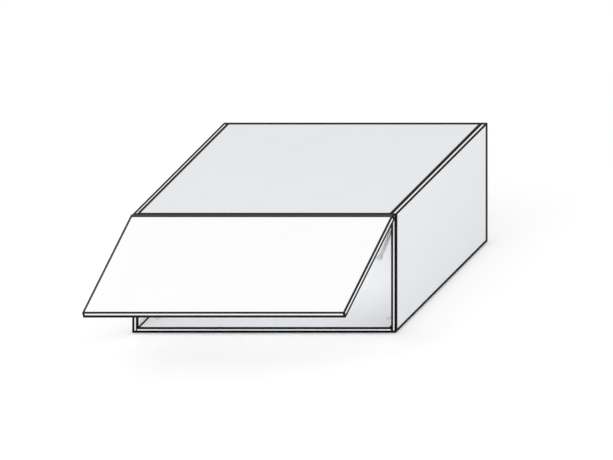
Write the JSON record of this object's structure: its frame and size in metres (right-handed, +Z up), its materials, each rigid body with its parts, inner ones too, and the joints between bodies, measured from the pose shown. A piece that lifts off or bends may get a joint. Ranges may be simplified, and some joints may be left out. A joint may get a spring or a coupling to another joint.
{
  "type": "lift-up wall cabinet",
  "caption": "Frameless wall cabinet whose single top-hinged flap lifts on two spring stays, with concealed cup hinges and adjustable hangers on a wall rail.",
  "frame": {"origin": "middle of the carcass's lower rear edge, where the wall plane meets the underside", "axes": "+X to the right as seen from the front, +Y into the wall, +Z up; the front faces -Y"},
  "size_m": [0.8, 0.9322, 0.3648],
  "materials": {
    "carcass_board": "fine-textured light grey melamine on chipboard",
    "back_board": "smooth light grey lacquered hardboard",
    "carcass_edging": "satin white edge banding",
    "flap_board": "satin white lacquered board",
    "flap_edging": "satin white edge banding",
    "beech": "plain beech",
    "grey_plastic": "fine-grained light grey plastic",
    "coated_steel": "light grey powder coat on steel",
    "clear_bumper": "soft translucent plastic",
    "nickel_steel": "nickel-plated pressed steel",
    "zinc_plated_steel": "bright zinc-plated steel",
    "spring_steel": "oiled spring wire",
    "die_cast_zinc": "die-cast zinc"
  },
  "bodies": {
    "carcass": {"left_side_panel": "carcass_board", "right_side_panel": "carcass_board", "top_panel": "carcass_board", "bottom_panel": "carcass_board", "back_panel": "back_board", "left_side_edge_bands": "carcass_edging", "right_side_edge_bands": "carcass_edging", "top_edge_bands": "carcass_edging", "bottom_edge_bands": "carcass_edging", "dowels": "beech", "cam_bolts": "zinc_plated_steel", "cam_locks": "die_cast_zinc", "cam_caps": "grey_plastic", "hinge_arm_left": "nickel_steel", "hinge_arm_right": "nickel_steel", "hinge_plate_left": "nickel_steel", "hinge_plate_right": "nickel_steel", "hinge_plate_screws": "zinc_plated_steel", "hinge_clamp_screws": "zinc_plated_steel", "stay_housing_left": "grey_plastic", "stay_housing_right": "grey_plastic", "stay_cover_left": "grey_plastic", "stay_cover_right": "grey_plastic", "stay_spring_left": "spring_steel", "stay_spring_right": "spring_steel", "stay_adjusters": "die_cast_zinc", "stay_housing_screws": "zinc_plated_steel", "hanger_housing_left": "grey_plastic", "hanger_housing_right": "grey_plastic", "hanger_screws": "zinc_plated_steel", "hanger_fixing_screws": "zinc_plated_steel"},
    "flap": {"flap_panel": "flap_board", "flap_edge_bands": "flap_edging", "flap_bumpers": "clear_bumper", "hinge_cup_left": "nickel_steel", "hinge_cup_right": "nickel_steel", "hinge_pins": "nickel_steel", "hinge_cup_screws": "zinc_plated_steel", "stay_bracket_left": "coated_steel", "stay_bracket_right": "coated_steel", "stay_bracket_pins": "nickel_steel", "stay_bracket_screws": "zinc_plated_steel"},
    "lever_left": {"stay_shaft_left": "zinc_plated_steel", "stay_cam_left": "zinc_plated_steel", "stay_lever_left": "coated_steel"},
    "lever_right": {"stay_shaft_right": "zinc_plated_steel", "stay_cam_right": "zinc_plated_steel", "stay_lever_right": "coated_steel"},
    "link_left": {"stay_link_left": "coated_steel", "stay_elbow_pin_left": "nickel_steel"},
    "link_right": {"stay_link_right": "coated_steel", "stay_elbow_pin_right": "nickel_steel"},
    "slider_left": {"stay_slider_left": "die_cast_zinc", "stay_roller_left": "nickel_steel"},
    "slider_right": {"stay_slider_right": "die_cast_zinc", "stay_roller_right": "nickel_steel"},
    "wall_rail": {"wall_rail": "zinc_plated_steel", "hanger_hook_left": "zinc_plated_steel", "hanger_hook_right": "zinc_plated_steel"}
  },
  "joints": [
    {"name": "flap_hinge", "type": "hinge", "parent": "carcass", "child": "flap", "pos_m": [0, -0.6122, 0.3495], "axis": [-1, 0, 0], "range_deg": [-65, 35]},
    {"name": "lever_left_turn", "type": "hinge", "parent": "carcass", "child": "lever_left", "pos_m": [-0.359, -0.517, 0.302], "axis": [-1, 0, 0], "range_deg": [-65, 35]},
    {"name": "link_left_turn", "type": "hinge", "parent": "lever_left", "child": "link_left", "pos_m": [-0.357, -0.61269, 0.23509], "axis": [-1, 0, 0], "range_deg": [-35, 65]},
    {"name": "slider_left_run", "type": "slide", "parent": "carcass", "child": "slider_left", "axis": [0, -1, 0], "range_m": [-0.01171, 0.00631], "deforming": ["stay_spring_left"]},
    {"name": "lever_right_turn", "type": "hinge", "parent": "carcass", "child": "lever_right", "pos_m": [0.359, -0.517, 0.302], "axis": [-1, 0, 0], "range_deg": [-65, 35]},
    {"name": "link_right_turn", "type": "hinge", "parent": "lever_right", "child": "link_right", "pos_m": [0.357, -0.61269, 0.23509], "axis": [-1, 0, 0], "range_deg": [-35, 65]},
    {"name": "slider_right_run", "type": "slide", "parent": "carcass", "child": "slider_right", "axis": [0, -1, 0], "range_m": [-0.01171, 0.00631], "deforming": ["stay_spring_right"]},
    {"name": "hanger_height", "type": "slide", "parent": "carcass", "child": "wall_rail", "axis": [0, 0, 1], "range_m": [-0.005, 0.005]}
  ],
  "couplings": [
    {"joint": "lever_left_turn", "follows": "flap_hinge", "ratio": 1},
    {"joint": "link_left_turn", "follows": "flap_hinge", "ratio": -1},
    {"joint": "slider_left_run", "follows": "flap_hinge", "m_per_rad": 0.010313},
    {"joint": "lever_right_turn", "follows": "flap_hinge", "ratio": 1},
    {"joint": "link_right_turn", "follows": "flap_hinge", "ratio": -1},
    {"joint": "slider_right_run", "follows": "flap_hinge", "m_per_rad": 0.010313}
  ]
}
